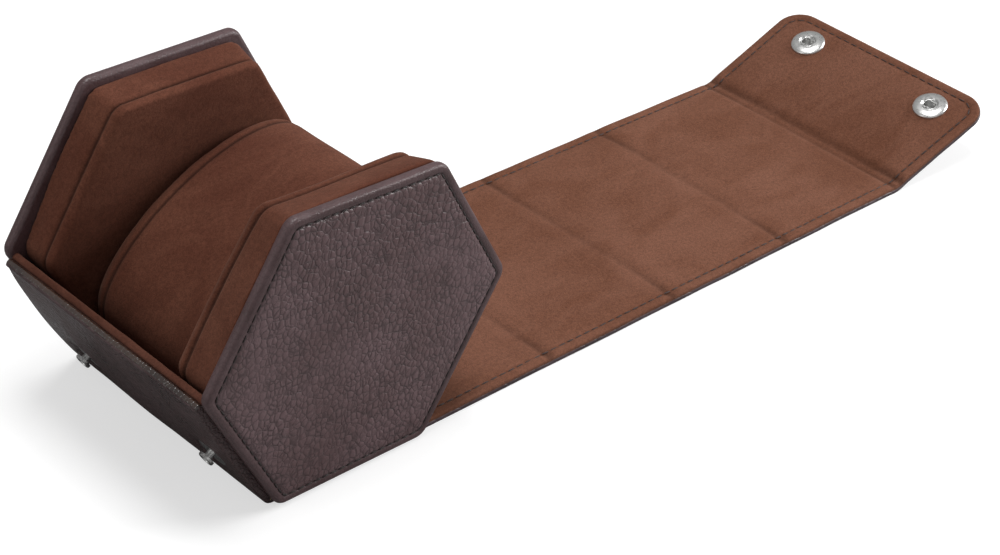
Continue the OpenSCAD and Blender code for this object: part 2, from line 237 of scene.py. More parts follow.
def step(value, low, high):
    t = np.clip((value - low) / (high - low), 0, 1)
    return t * t * (3 - 2 * t)


def dip(value, at, width):
    """1 at the place of a groove, falling to 0 at width on either side."""
    return 1 - step(np.abs(value - at), 0, width)


# -------- materials
def node_group(name, inputs, outputs):
    group = bpy.data.node_groups.new(name, "ShaderNodeTree")
    for label, kind, value in inputs:
        socket = group.interface.new_socket(label, in_out="INPUT", socket_type=kind)
        if value is not None:
            socket.default_value = value
    for label in outputs:
        group.interface.new_socket(label, in_out="OUTPUT", socket_type="NodeSocketFloat")
    start = group.nodes.new("NodeGroupInput")
    end = group.nodes.new("NodeGroupOutput")
    return group, start, end


class Nodes:
    """Short ways to add and join the nodes of one tree."""

    def __init__(self, tree):
        self.tree = tree

    def add(self, kind, inputs=None, **settings):
        node = self.tree.nodes.new(kind)
        for key, value in settings.items():
            setattr(node, key, value)
        self.fill(node, inputs or {})
        return node

    def fill(self, node, inputs):
        for key, value in inputs.items():
            self.put(node.inputs[key], value)

    def put(self, socket, value):
        if isinstance(value, bpy.types.NodeSocket):
            self.tree.links.new(value, socket)
        else:
            socket.default_value = value

    def math(self, operation, a, b, clamp=False):
        node = self.add("ShaderNodeMath", {0: a, 1: b}, operation=operation, use_clamp=clamp)
        return node.outputs[0]

    def times(self, a, b, clamp=False):
        return self.math("MULTIPLY", a, b, clamp)

    def plus(self, a, b):
        return self.math("ADD", a, b)

    def minus(self, a, b):
        return self.math("SUBTRACT", a, b)

    def vector(self, operation, inputs):
        return self.add("ShaderNodeVectorMath", inputs, operation=operation).outputs[0]

    def grey(self, value):
        return self.add("ShaderNodeCombineColor", {0: value, 1: value, 2: value}).outputs[0]

    def bump(self, height, strength, distance):
        return self.add("ShaderNodeBump", {
            "Height": height, "Strength": strength, "Distance": distance}).outputs[0]

    def noise(self, vector, scale, detail=2.0, rough=0.5, distortion=0.0):
        return self.add("ShaderNodeTexNoise", {
            "Vector": vector, "Scale": scale, "Detail": detail, "Roughness": rough,
            "Distortion": distortion}).outputs["Fac"]

    def between(self, value, low, high, out_low=0.0, out_high=1.0):
        return self.add("ShaderNodeMapRange", {
            "Value": value, "From Min": low, "From Max": high, "To Min": out_low,
            "To Max": out_high}, interpolation_type="SMOOTHSTEP").outputs["Result"]

    def mix(self, factor, a, b, blend="MIX"):
        return self.add("ShaderNodeMix", {0: factor, 6: a, 7: b},
                        data_type="RGBA", blend_type=blend).outputs[2]

    def stretch(self, vector, scale, turn=(0.0, 0.0, 0.0)):
        return self.add("ShaderNodeMapping", {
            "Vector": vector, "Scale": scale, "Rotation": turn}).outputs[0]


def pebble_group():
    """Tumbled grain: cushioned cells parted by fine creases, with pores on top."""
    group, start, end = node_group("pebbled grain", [
        ("Vector", "NodeSocketVector", None), ("Cell", "NodeSocketFloat", 570.0),
        ("Wander", "NodeSocketFloat", 0.0014)], ["Height", "Crease", "Mottle"])
    n = Nodes(group)
    place, cell = start.outputs["Vector"], start.outputs["Cell"]
    drift = n.add("ShaderNodeTexNoise", {"Vector": place, "Scale": 210.0, "Detail": 3.0})
    centred = n.vector("SUBTRACT", {0: drift.outputs["Color"], 1: (0.5, 0.5, 0.5)})
    moved = n.vector("SCALE", {0: centred, "Scale": start.outputs["Wander"]})
    drawn = n.stretch(n.vector("ADD", {0: place, 1: moved}), (1.06, 1.0, 0.92))

    def pebbles(scale, width):
        inputs = {"Vector": drawn, "Scale": scale, "Randomness": 0.8}
        edge = n.add("ShaderNodeTexVoronoi", inputs, feature="DISTANCE_TO_EDGE")
        edge = edge.outputs["Distance"]
        middle = n.add("ShaderNodeTexVoronoi", inputs, feature="F1").outputs["Distance"]
        dome = n.minus(1.0, n.times(middle, middle))
        rise = n.times(edge, 1 / width, clamp=True)
        shoulder = n.times(rise, n.minus(2.0, rise))
        return edge, n.plus(n.times(dome, 0.7), n.times(shoulder, 0.45))

    edge, pillow = pebbles(cell, 0.36)
    fine = pebbles(n.times(cell, 2.2), 0.3)[1]
    fine_amount = n.between(n.noise(place, 260.0, 3.0), 0.44, 0.6, 0.02, 0.14)
    body = n.plus(n.times(pillow, 0.75), n.times(fine, fine_amount))
    relief = n.times(body, n.between(n.noise(place, 30.0, 1.0), 0.36, 0.62, 0.62, 1.0))
    swollen = n.plus(relief, n.times(n.noise(place, 150.0, 2.0), 0.5))
    pores = n.times(n.noise(place, 3600.0, 2.0), 0.05)
    faint = n.between(n.noise(place, 170.0, 2.0), 0.38, 0.62, 0.35, 1.0)
    n.fill(end, {
        "Height": n.plus(swollen, pores),
        "Crease": n.times(faint, n.minus(1.0, n.between(edge, 0.0, 0.2))),
        "Mottle": n.noise(place, 45.0, 3.0, 0.6)})
    return group


def wrinkle_group():
    """Smooth hide drawn over an edge: fine lines that run one way, and soft bruises."""
    group, start, end = node_group("drawn grain", [
        ("Vector", "NodeSocketVector", None), ("Along", "NodeSocketVector", (1.0, 1.0, 1.0))],
        ["Height", "Line", "Mottle"])
    n = Nodes(group)
    place = start.outputs["Vector"]
    pulled = n.vector("MULTIPLY", {0: place, 1: start.outputs["Along"]})
    cells = n.add("ShaderNodeTexVoronoi", {"Vector": pulled, "Scale": 760.0},
                  feature="DISTANCE_TO_EDGE").outputs["Distance"]
    lines = n.between(cells, 0.0, 0.14)
    streaks = n.noise(pulled, 900.0, 3.0, 0.6)
    n.fill(end, {
        "Height": n.plus(n.times(lines, 0.5), n.times(streaks, 0.5)),
        "Line": n.minus(1.0, lines),
        "Mottle": n.noise(place, 70.0, 3.0, 0.6)})
    return group


def nap_group():
    """Brushed nap: short fibres, darker and paler strokes, and a slow change of tone."""
    group, start, end = node_group("brushed nap", [
        ("Vector", "NodeSocketVector", None)], ["Height", "Fibre", "Stroke"])
    n = Nodes(group)
    place = start.outputs["Vector"]
    fibre = n.noise(place, 3000.0, 4.0, 0.75)
    tuft = n.noise(place, 1100.0, 3.0, 0.65, 0.6)
    stroke = n.noise(n.stretch(place, (0.55, 1.0, 1.0)), 60.0, 4.0, 0.62, 0.8)
    cloud = n.noise(place, 22.0, 2.0)
    n.fill(end, {
        "Height": n.plus(n.times(fibre, 0.55), n.times(tuft, 0.45)),
        "Fibre": n.plus(n.times(fibre, 0.6), n.times(tuft, 0.4)),
        "Stroke": n.plus(n.times(stroke, 0.55), n.times(cloud, 0.45))})
    return group


PEBBLE = pebble_group()
WRINKLE = wrinkle_group()
NAP = nap_group()


def new_material(name):
    material = bpy.data.materials.new(name)
    material.use_nodes = True
    n = Nodes(material.node_tree)
    shader = material.node_tree.nodes["Principled BSDF"]
    return material, n, shader


def grain_place(n, on_cad=False):
    if on_cad:
        return n.add("ShaderNodeTexCoord").outputs["Object"]
    return n.add("ShaderNodeAttribute", attribute_name="grain_place").outputs["Vector"]


# Painted shade in seams, grooves and folds, 0 to 1, as laid on the mesh
def shade_line(n):
    return n.add("ShaderNodeAttribute", attribute_name="shade_line").outputs["Fac"]


def placed(n, group, **values):
    node = n.add("ShaderNodeGroup", node_tree=group)
    n.fill(node, {"Vector": grain_place(n), **values})
    return node.outputs


def darker(colour, share):
    return tuple(c * share for c in colour[:3]) + (1,)


def pebbled_leather(name, low, high, crease, depth=0.00042):
    material, n, shader = new_material(name)
    grain = placed(n, PEBBLE)
    tone = n.mix(n.between(grain["Mottle"], 0.32, 0.68), low, high)
    # Darker grain creases are the hide's own colour; the shade line adds painted shade in seams and
    # grooves
    grain_lines_and_painted_shade = n.math("MAXIMUM", n.times(grain["Crease"], 0.6), n.times(shade_line(n), 0.8))
    n.fill(shader, {
        "Base Color": n.mix(grain_lines_and_painted_shade, tone, crease),
        "Roughness": n.between(grain_lines_and_painted_shade, 0.0, 1.0, 0.4, 0.62),
        "Normal": n.bump(grain["Height"], 1.0, depth),
        "Specular IOR Level": 0.5})
    return material


def drawn_leather(name, low, high, along=(1.0, 1.0, 1.0), depth=0.00008,
                  rough=(0.36, 0.5), shine=0.5):
    material, n, shader = new_material(name)
    grain = placed(n, WRINKLE, Along=along)
    tone = n.mix(n.between(grain["Mottle"], 0.3, 0.7), low, high)
    # Darker wrinkle lines are the hide's own colour; the shade line adds painted shade in seams and
    # grooves
    grain_lines_and_painted_shade = n.math("MAXIMUM", n.times(grain["Line"], 0.25), n.times(shade_line(n), 0.85))
    n.fill(shader, {
        "Base Color": n.mix(grain_lines_and_painted_shade, tone, darker(low, 0.25)),
        "Roughness": n.between(grain["Mottle"], 0.3, 0.7, *rough),
        "Normal": n.bump(grain["Height"], 0.8, depth),
        "Specular IOR Level": shine})
    return material


def suede(name, low, high):
    material, n, shader = new_material(name)
    nap = placed(n, NAP)
    tone = n.mix(n.between(nap["Stroke"], 0.36, 0.64), low, high)
    speck = n.between(nap["Fibre"], 0.34, 0.66, 0.72, 1.28)
    # Fibre specks are the nap's own tone; the shade line darkens them as painted shade along seams,
    # grooves and folds
    shaded = n.times(speck, n.between(shade_line(n), 0.0, 1.0, 1.0, 0.36))
    n.fill(shader, {
        "Base Color": n.mix(1.0, tone, n.grey(shaded), "MULTIPLY"),
        "Normal": n.bump(nap["Height"], 0.8, 0.0002),
        "Roughness": 0.95, "Specular IOR Level": 0.1, "Sheen Weight": 0.1,
        "Sheen Roughness": 0.45, "Sheen Tint": (0.85, 0.55, 0.42, 1)})
    return material


def metal(name, colour, rough):
    material, n, shader = new_material(name)
    place = grain_place(n, True)
    smear = n.noise(place, 900.0, 4.0, 0.6)
    scratch = n.noise(n.stretch(place, (1.0, 6.0, 1.0)), 2600.0, 2.0)
    n.fill(shader, {
        "Base Color": colour, "Metallic": 1.0,
        "Roughness": n.between(smear, 0.3, 0.7, rough * 0.85, rough * 1.2),
        "Normal": n.bump(scratch, 0.05, 0.000005)})
    return material


def thread_material(name, colour):
    material, n, shader = new_material(name)
    twist = n.noise(n.stretch(grain_place(n), (1.0, 1.0, 1.0), (0.0, 0.6, 0.5)), 2400.0, 2.0)
    n.fill(shader, {
        "Base Color": n.mix(n.between(twist, 0.4, 0.6), darker(colour, 0.4), colour),
        "Normal": n.bump(twist, 0.5, 0.0001), "Roughness": 0.6})
    return material


def plain_board(name, colour):
    material, n, shader = new_material(name)
    fibre = n.noise(grain_place(n, True), 700.0, 3.0)
    n.fill(shader, {"Base Color": n.mix(fibre, darker(colour, 0.8), colour), "Roughness": 0.9})
    return material


face_leather = pebbled_leather(
    "pebbled leather", (0.094, 0.051, 0.053, 1), (0.122, 0.072, 0.077, 1), (0.026, 0.013, 0.014, 1))
rim_leather = drawn_leather(
    "rim leather", (0.06, 0.031, 0.032, 1), (0.088, 0.05, 0.053, 1), shine=0.45)
wall_leather = drawn_leather(
    "wall leather", (0.046, 0.024, 0.024, 1), (0.076, 0.044, 0.045, 1),
    along=(1.0, 0.3, 1.0), depth=0.00042, rough=(0.26, 0.42), shine=0.4)
edge_leather = drawn_leather(
    "burnished edge", (0.02, 0.009, 0.006, 1), (0.04, 0.019, 0.012, 1),
    rough=(0.12, 0.24), shine=0.9)
flap_edge = drawn_leather(
    "flap edge leather", (0.036, 0.02, 0.023, 1), (0.064, 0.04, 0.046, 1),
    along=(0.3, 1.0, 1.0), depth=0.00014, shine=0.35)
flap_leather = pebbled_leather(
    "flap leather", (0.062, 0.034, 0.037, 1), (0.098, 0.058, 0.065, 1), (0.014, 0.007, 0.008, 1),
    depth=0.0003)
# Pad and cushion suede: its own tone, set darker than the flap's suede as painted shade for the
# inside of the case
pad_suede_with_painted_shade = suede("pad suede", (0.082, 0.027, 0.016, 1), (0.118, 0.044, 0.027, 1))
flap_suede = suede("flap suede", (0.118, 0.046, 0.026, 1), (0.156, 0.067, 0.042, 1))
lining_suede = suede("lining suede", (0.06, 0.021, 0.013, 1), (0.092, 0.035, 0.023, 1))
brown_thread = thread_material("brown thread", (0.018, 0.009, 0.008, 1))
flap_thread = thread_material("flap thread", (0.03, 0.012, 0.008, 1))
snap_metal = metal("snap metal", (0.6, 0.6, 0.59, 1), 0.3)
plate_metal = metal("plate metal", (0.7, 0.55, 0.3, 1), 0.35)
board = plain_board("board", (0.42, 0.33, 0.22, 1))
foam = plain_board("foam", (0.7, 0.62, 0.45, 1))

# Looks of the CAD pieces, by words in their names
CAD_LOOKS = (("snap_", snap_metal), ("springs", snap_metal), ("plates", plate_metal),
             ("board", board), ("foam", foam), ("core", foam), ("leather", face_leather),
             ("backing", face_leather), ("", pad_suede_with_painted_shade))
for name, node in frame["nodes"].items():
    if name.startswith("snap_"):
        smooth(node, 35)
    node.data.materials.clear()
    node.data.materials.append(next(look for word, look in CAD_LOOKS if word in name))


# -------- end panels
groove_in = 2.6 * MM
# Width and rise in mm of each step from the rim over the sewn groove to the face
GROOVE_STEPS = ((0.4, 0.04), (0.6, 0.0), (0.26, -0.13), (0.24, -0.15), (0.2, 0.0), (0.22, 0.15),
                (0.3, 0.17))
# Share of the face's size and rise in mm of each ring towards its middle
FACE_RINGS = ((0.97, 0.06), (0.9, 0.06), (0.8, 0.06), (0.68, 0.05), (0.5, 0.03), (0.3, 0.02),
              (0.1, 0.01))


def hexagon(name, inradius, corner, y):
    """A flat six-sided sheet with rounded corners, across the axis of the case."""
    bpy.ops.mesh.primitive_circle_add(
        vertices=6, radius=inradius / math.cos(TURN / 2), fill_type="NGON",
        location=(0, y, centre_z), rotation=(math.pi / 2, math.pi / 6, 0))
    obj = named(name)
    settle(obj)
    edit(obj)
    select_whole()
    bpy.ops.mesh.bevel(offset=corner * math.tan(TURN / 2), segments=6, affect="VERTICES")
    leave()
    return obj


def hexagon_depth(co, inradius):
    """Distance of each point inside the six straight edges."""
    depths = [inradius - (co[:, 0] * math.cos(a) + (co[:, 2] - centre_z) * math.sin(a))
              for a in (math.pi / 6 + TURN * k for k in range(6))]
    return np.min(depths, axis=0)


def sagged(co, way):
    """The near panel is a little wider to the back, with its top corner there drawn down."""
    out = np.array(co, float)
    if way < 0:
        above = out[:, 2] - centre_z
        drop = 1.5 * step(above, 4 * MM, 36 * MM) + 0.6 * step(-above, 10 * MM, 38 * MM)
        out[:, 2] -= step(out[:, 0], 0, 32 * MM) * drop * MM
        out[:, 0] += 0.7 * MM * step(out[:, 0], 8 * MM, 44 * MM)
    return out


def end_panel(label, way):
    """Leather cover of one end: rounded rim, sewn groove and a slightly padded face."""
    obj = hexagon(label + "_panel_cover", apothem, panel_corner, way * wall_y)
    edit(obj)
    select_whole()
    extrude_along(way * (panel_y - wall_y))
    pick(obj, "edges", lambda a, b: min(a.y * way, b.y * way) > panel_y - TINY)
    round_edges(1.0 * MM, 5)
    pick(obj, "edges", lambda a, b: max(a.y * way, b.y * way) < wall_y + TINY)
    round_edges(1.3 * MM, 4)
    pick(obj, "faces", lambda c, n: n.y * way > 0.99 and c.y * way > panel_y - TINY)
    for thickness, depth in GROOVE_STEPS:
        bpy.ops.mesh.inset(thickness=thickness * MM, depth=depth * MM)
    last = 1.0
    for share, rise in FACE_RINGS:
        extrude_along(way * rise * MM)
        bpy.ops.transform.resize(
            value=(share / last, 1, share / last), center_override=(0, 0, centre_z))
        last = share
    leave()
    tidy_normals(obj)
    co = points_of(obj)
    inside = hexagon_depth(co, apothem)
    rim = [face.normal.y * way <= 0.6 or inside[list(face.vertices)].mean() <= groove_in
           for face in obj.data.polygons]
    lay_grain(obj)
    # Painted shade darkens the sewn groove round the face
    lay_shade(obj, 0.6 * dip(inside, groove_in, 0.5 * MM) * (co[:, 1] * way > panel_y - 0.9 * MM))
    uneven = ((wave(co, 9 * MM, 71.0 + way) - 0.9) * 0.12 * MM
              + wave(co, 3 * MM, 73.0 + way) * 0.03 * MM) * (1 - step(inside, 0, 3 * MM))
    outward = sideways(co[:, 0], co[:, 2] - centre_z)
    move_points(obj, sagged(co + outward * uneven[:, None], way))
    solids = [label + "_panel_" + layer for layer in ("leather", "board", "backing")]
    finish(obj, (face_leather, rim_leather), "case", 35, solids)
    second_material(obj, rim)


# -------- stitches
def stitch_row(name, points, out, material, body, length, gap, width):
    """A row of sunk running stitches along points; out is the surface's normal."""
    bpy.ops.mesh.primitive_uv_sphere_add(segments=8, ring_count=6, radius=0.5)
    pattern = named(name + "_pattern")
    shape = points_of(pattern)
    shape = np.sign(shape) * np.abs(shape) ** np.array([0.75, 1.0, 1.0])
    faces = [list(p.vertices) for p in pattern.data.polygons]
    bpy.ops.object.delete()
    points, out = np.array(points, float), np.array(out, float)
    legs = np.linalg.norm(np.diff(points, axis=0), axis=1)
    run = np.concatenate([[0], np.cumsum(legs)])
    count = max(1, int(run[-1] / ((length + gap) * MM)))
    pitch = run[-1] / count
    half = length * MM / 2
    vertices, polygons = [], []
    for k in range(count):
        a, b = (np.array([np.interp((k + 0.5) * pitch + reach, run, points[:, i])
                          for i in range(3)]) for reach in (-half, half))
        chord = np.linalg.norm(b - a)
        along = (b - a) / chord
        side = np.cross(out, along)
        tilt = 0.05 * math.sin(k * 2.3)
        middle = (a + b) / 2 + out * 0.05 * MM
        stitch = (shape[:, :1] * (along + side * tilt) * chord
                  + shape[:, 1:2] * side * width * MM + shape[:, 2:] * out * width * 0.7 * MM)
        polygons += [[v + len(vertices) for v in face] for face in faces]
        vertices += list(middle + stitch)
    mesh = bpy.data.meshes.new(name)
    mesh.from_pydata(vertices, [], polygons)
    obj = bpy.data.objects.new(name, mesh)
    bpy.context.collection.objects.link(obj)
    return finish(obj, [material], body, 80)


def hexagon_path(inradius, corner, y):
    """A closed line round a hexagon with rounded corners, across the axis of the case."""
    points, cuts = [], 6
    middle = (inradius - corner) / math.cos(math.pi / 6)
    for k in range(6):
        for j in range(cuts + 1):
            t = TURN * k - TURN / 2 + TURN * j / cuts
            points.append((middle * math.cos(TURN * k) + corner * math.cos(t), y,
                           centre_z + middle * math.sin(TURN * k) + corner * math.sin(t)))
    return points + points[:1]


# -------- pads and cushion
def swell(obj, pressure, cap, voxel, hold=None):
    """Blow the piece up a little as cloth, and keep each point within cap of its start."""
    only(obj)
    remesh = obj.modifiers.new("remesh", "REMESH")
    remesh.mode = "VOXEL"
    remesh.voxel_size = voxel
    apply_all(obj)
    before = points_of(obj)
    cloth = obj.modifiers.new("cloth", "CLOTH")
    cloth.settings.quality = 6
    cloth.settings.mass = 0.2
    cloth.settings.tension_stiffness = 20
    cloth.settings.compression_stiffness = 20
    cloth.settings.bending_stiffness = 0.6
    cloth.settings.use_pressure = True
    cloth.settings.uniform_pressure_force = pressure
    cloth.settings.effector_weights.gravity = 0
    cloth.point_cache.frame_start = 1
    cloth.point_cache.frame_end = last = 20
    for moment in range(1, last + 1):
        bpy.context.scene.frame_set(moment)
    evaluated = obj.evaluated_get(bpy.context.evaluated_depsgraph_get())
    after = np.array([v.co[:] for v in evaluated.data.vertices])
    obj.modifiers.remove(cloth)
    bpy.context.scene.frame_set(1)
    shift = after - before
    if hold is not None:
        shift *= hold(before)[:, None]
    size = np.linalg.norm(shift, axis=1, keepdims=True)
    before = before + shift * np.minimum(1, cap / np.maximum(size, 1e-9))
    move_points(obj, before)
    subdivision = obj.modifiers.new("subdivision", "SUBSURF")
    subdivision.levels = subdivision.render_levels = 1
    apply_all(obj)
    return obj


def pad(label, way):
    """Firm suede pad: crowned face, rounded edge, and the seam between face and sleeve."""
    back = way * (wall_y + 0.05 * MM)
    front = way * (pad_face_y + 0.2 * MM)
    obj = hexagon(label + "_pad_suede", pad_apothem, pad_corner, back)
    edit(obj)
    select_whole()
    extrude_along(front - back)
    pick(obj, "edges", lambda a, b: max(abs(a.y), abs(b.y)) < abs(front) + TINY)
    round_edges(1.3 * MM, 5)
    leave()
    tidy_normals(obj)
    swell(obj, 1.5, 0.4 * MM, 0.95 * MM, hold=lambda co: np.abs(co[:, 1]) < wall_y - 1.0 * MM)
    co = points_of(obj)
    inside = hexagon_depth(co, pad_apothem)
    depth = np.abs(co[:, 1])
    before_seam = depth < pad_seam_y
    near_edge = 1 - step(inside, 0.8 * MM, 2.4 * MM)
    seam = dip(depth, pad_seam_y, 0.85 * MM) * near_edge
    upper = step(co[:, 2], centre_z - 4 * MM, centre_z + 22 * MM)
    in_front = step(-co[:, 0], 0, 25 * MM)
    towards_panel = np.clip((depth - pad_seam_y) / (wall_y - pad_seam_y), 0, 1)
    face_spread, back_spread = (1.3, 2.5) if way < 0 else (0.6, 1.8)
    spread = (face_spread * np.maximum(upper, in_front)
              + back_spread * upper * towards_panel) * MM * near_edge
    crown = step(inside, 1.0 * MM, 14 * MM) * before_seam
    outward = sideways(co[:, 0], co[:, 2] - centre_z)
    co += outward * (spread - seam * 0.55 * MM)[:, None]
    welt = dip(depth, pad_seam_y - 1.1 * MM, 1.0 * MM) * near_edge
    co += outward * (welt * 0.15 * MM)[:, None]
    soft = wave(co, 9 * MM, 3.0 + way) * 0.12 * MM + wave(co, 3.5 * MM, 7.0 + way) * 0.04 * MM
    soft *= step(inside, 0.5 * MM, 3 * MM) * before_seam
    co[:, 1] -= way * (crown * 0.18 * MM + soft)
    co -= outward * (wave(co, 7 * MM, 11.0 + way) * 0.1 * MM * near_edge)[:, None]
    if way < 0:
        # The cushion presses the middle flat, and the front of the rim stands out round it
        turned = np.array(Matrix.Rotation(cushion_tilt, 3, "Y"))
        beside = (co - np.array([0, 0, centre_z])) @ turned.T
        clear = np.hypot(beside[:, 0] / cushion_long, beside[:, 2] / cushion_short)
        pressed_out = step(clear, 1.08, 1.5) * step(-co[:, 0], 4 * MM, 38 * MM)
        pressed_out *= (1 - towards_panel) * (depth < wall_y - 1 * MM)
        co[:, 1] += 2.4 * MM * pressed_out
    move_points(obj, co)
    # Painted shade darkens the sunk seam between face and sleeve
    lay_shade(obj, seam)
    solids = [label + "_pad_sleeve", label + "_pad_face"]
    finish(obj, [pad_suede_with_painted_shade], "case", 60, solids)


def cushion():
    """Oval suede cushion for the watch, crowned, with an end seam at either side."""
    half_y = -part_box("cushion_near_end")[0][1]
    seam_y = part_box("cushion_sleeve")[1][1]
    bpy.ops.mesh.primitive_cylinder_add(
        vertices=48, radius=1, depth=2, end_fill_type="NGON", rotation=(math.pi / 2, 0, 0))
    obj = named("cushion_suede")
    settle(obj)
    obj.scale = (cushion_long - 0.5 * MM, half_y - 0.4 * MM, cushion_short - 0.5 * MM)
    settle(obj)
    edit(obj)
    pick(obj, "edges", lambda a, b: abs(a.y - b.y) < TINY)
    round_edges(cushion_round, 6)
    leave()
    tidy_normals(obj)
    swell(obj, 2.0, 0.8 * MM, 1.6 * MM)
    co = points_of(obj)
    x, z = co[:, 0] / cushion_long, co[:, 2] / cushion_short
    seam = dip(np.abs(co[:, 1]), seam_y, 1.1 * MM) * step(np.hypot(x, z), 0.8, 0.95)
    side = sideways(x, z)
    co -= side * (seam * 0.5 * MM)[:, None]
    co += side * (wave(co, 10 * MM, 21.0) * 0.2 * MM * (1 - 0.5 * seam))[:, None]
    co[:, 1] = np.clip(co[:, 1], -half_y, half_y)
    turn = np.array(Matrix.Rotation(-cushion_tilt, 3, "Y"))
    move_points(obj, co @ turn.T + np.array([0, 0, centre_z]))
    # Painted shade darkens the sunk end seams
    lay_shade(obj, seam)
    solids = ["cushion_sleeve", "cushion_near_end", "cushion_far_end"]
    finish(obj, [pad_suede_with_painted_shade], "cushion", 60, solids)


# -------- flap
def fold_over(co, crease, angle, half_width):
    """Turn what lies past a crease up by an angle, in a smooth bend."""
    offset = co[:, 0] - crease
    t = np.clip((offset + half_width) / (2 * half_width), 0, 1)
    turn = angle * t * t * (3 - 2 * t)
    height = co[:, 2] - fold_z
    out = co.copy()
    out[:, 0] = crease + offset * np.cos(turn) - height * np.sin(turn)
    out[:, 2] = fold_z + offset * np.sin(turn) + height * np.cos(turn)
    return out


BEND = 4.5 * MM
lip_rise = 0.2 * MM
stitch_in = 3.2 * MM
tip_end = creases[4] + tip_length


def rows(low, high, pitch):
    count = max(1, round((high - low) / pitch))
    return list(np.linspace(low, high, count + 1))


def flap_outline_half(x, inset):
    """Half width of the flap at x, drawn in by inset, round the corners of the tip."""
    radius = tip_corner - inset
    start = tip_end - tip_corner
    past = np.clip(x - start, 0, radius)
    return flap_half - inset - radius + np.sqrt(np.maximum(radius ** 2 - past ** 2, 0))


def flap_sheet(name, x_rows, shares, inset, low, high):
    """A flat closed slab of the flap: shares are the places of its rows across, 0 to 1."""
    across = [-s for s in reversed(shares) if s > 0] + list(shares)
    bpy.ops.mesh.primitive_grid_add(
        x_subdivisions=len(x_rows) - 1, y_subdivisions=len(across) - 1, size=2, location=(0, 0, 0))
    obj = named(name)
    co = points_of(obj)
    column = np.rint((co[:, 0] + 1) / 2 * (len(x_rows) - 1)).astype(int)
    row = np.rint((co[:, 1] + 1) / 2 * (len(across) - 1)).astype(int)
    x = np.array(x_rows)[column]
    y = np.array(across)[row] * flap_outline_half(x, inset)
    move_points(obj, np.stack([x, y, np.full(len(x), high)], axis=1))
    slab = obj.modifiers.new("thickness", "SOLIDIFY")
    slab.thickness = high - low
    slab.offset = -1
    apply_all(obj)
    return obj


def edge_depth(co, inset):
    """Distance of each point from the flap's long edges and the end of the tip."""
    x, y = co[:, 0], np.abs(co[:, 1])
    centre_x, centre_y = tip_end - tip_corner, flap_half - tip_corner
    in_corner = (x > centre_x) & (y > centre_y)
    corner = tip_corner - inset - np.hypot(x - centre_x, y - centre_y)
    return np.where(in_corner, corner, np.minimum(flap_half - inset - y, tip_end - inset - x))


def rounded_off(depth, radius):
    """How far a rounded edge falls below the surface at each distance from it."""
    left = np.clip(radius - depth, 0, radius)
    return radius - np.sqrt(np.maximum(radius ** 2 - left ** 2, 0))


def wander_edges(co):
    """Let the long edges of the flap stray a little, as cut and sewn by hand."""
    side = np.sign(co[:, 1])
    place = np.stack([co[:, 0], side * 40 * MM, np.zeros(len(co))], axis=1)
    out = co.copy()
    out[:, 1] += side * step(np.abs(co[:, 1]), 0.85 * flap_half, flap_half) * (
        wave(place, 12 * MM, 51.0) * 0.16 * MM + wave(place, 40 * MM, 57.0) * 0.2 * MM)
    flat_part = 1 - step(co[:, 0], creases[4], tip_end)
    out[:, 1] += near_edge_in * flat_part * step(-co[:, 1], 27 * MM, flap_half)
    out[:, 1] += far_edge_out * step(co[:, 1], 27 * MM, flap_half)
    return out


def socket_holes(obj):
    """Cut the holes that the sockets' barrels pass through, while the tip is flat."""
    for way in (-1, 1):
        bpy.ops.mesh.primitive_cylinder_add(
            vertices=32, radius=barrel_hole, depth=12 * MM,
            location=(creases[4] + snap_reach, way * snap_half, fold_z))
        cutter = named("socket_hole")
        settle(cutter)
        hole = obj.modifiers.new("hole", "BOOLEAN")
        hole.operation = "DIFFERENCE"
        hole.object = cutter
        apply_all(obj)
        only(cutter)
        bpy.ops.object.delete()


def hang(obj):
    """Bake the piece's place into its mesh."""
    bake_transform(obj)


def raised(obj):
    """Stand the tip up as it lies at rest, and keep the flat place for the grain."""
    flat = points_of(obj)
    lay_grain(obj, flat)
    move_points(obj, fold_over(flat, creases[4], tip_raise, BEND))


joins = [creases[0] - 13 * MM] + [(creases[k] + creases[k + 1]) / 2 for k in range(4)] + [tip_end]


def solids_of(index):
    """How the CAD nodes of one stretch of the flap are named."""
    return "flap_%d_" % (index + 1) if index < 4 else "tip_"


def piece_rows(index, start, inset, pitch):
    """Places of the rows along one stretch: close together in the bend, wider elsewhere."""
    x0, x1 = joins[index] if start is None else start, joins[index + 1]
    clear = 0 if start is None else 0.1 * MM
    bend = [creases[index] + BEND * k / 6 for k in range(-8, 9)]
    bend = [x for x in bend if x0 + clear < x < x1]
    out = rows(x0, bend[0], pitch)[:-1] if bend[0] > x0 + 0.3 * MM else [x0]
    out += bend
    if index < 4:
        out += rows(bend[-1], x1, pitch)[1:]
    else:
        corner, radius = tip_end - tip_corner, tip_corner - inset
        out += rows(bend[-1], corner, pitch)[1:]
        out += [corner + radius * math.sin(math.radians(a)) for a in range(6, 91, 6)]
    return sorted(set(round(x, 7) for x in out))


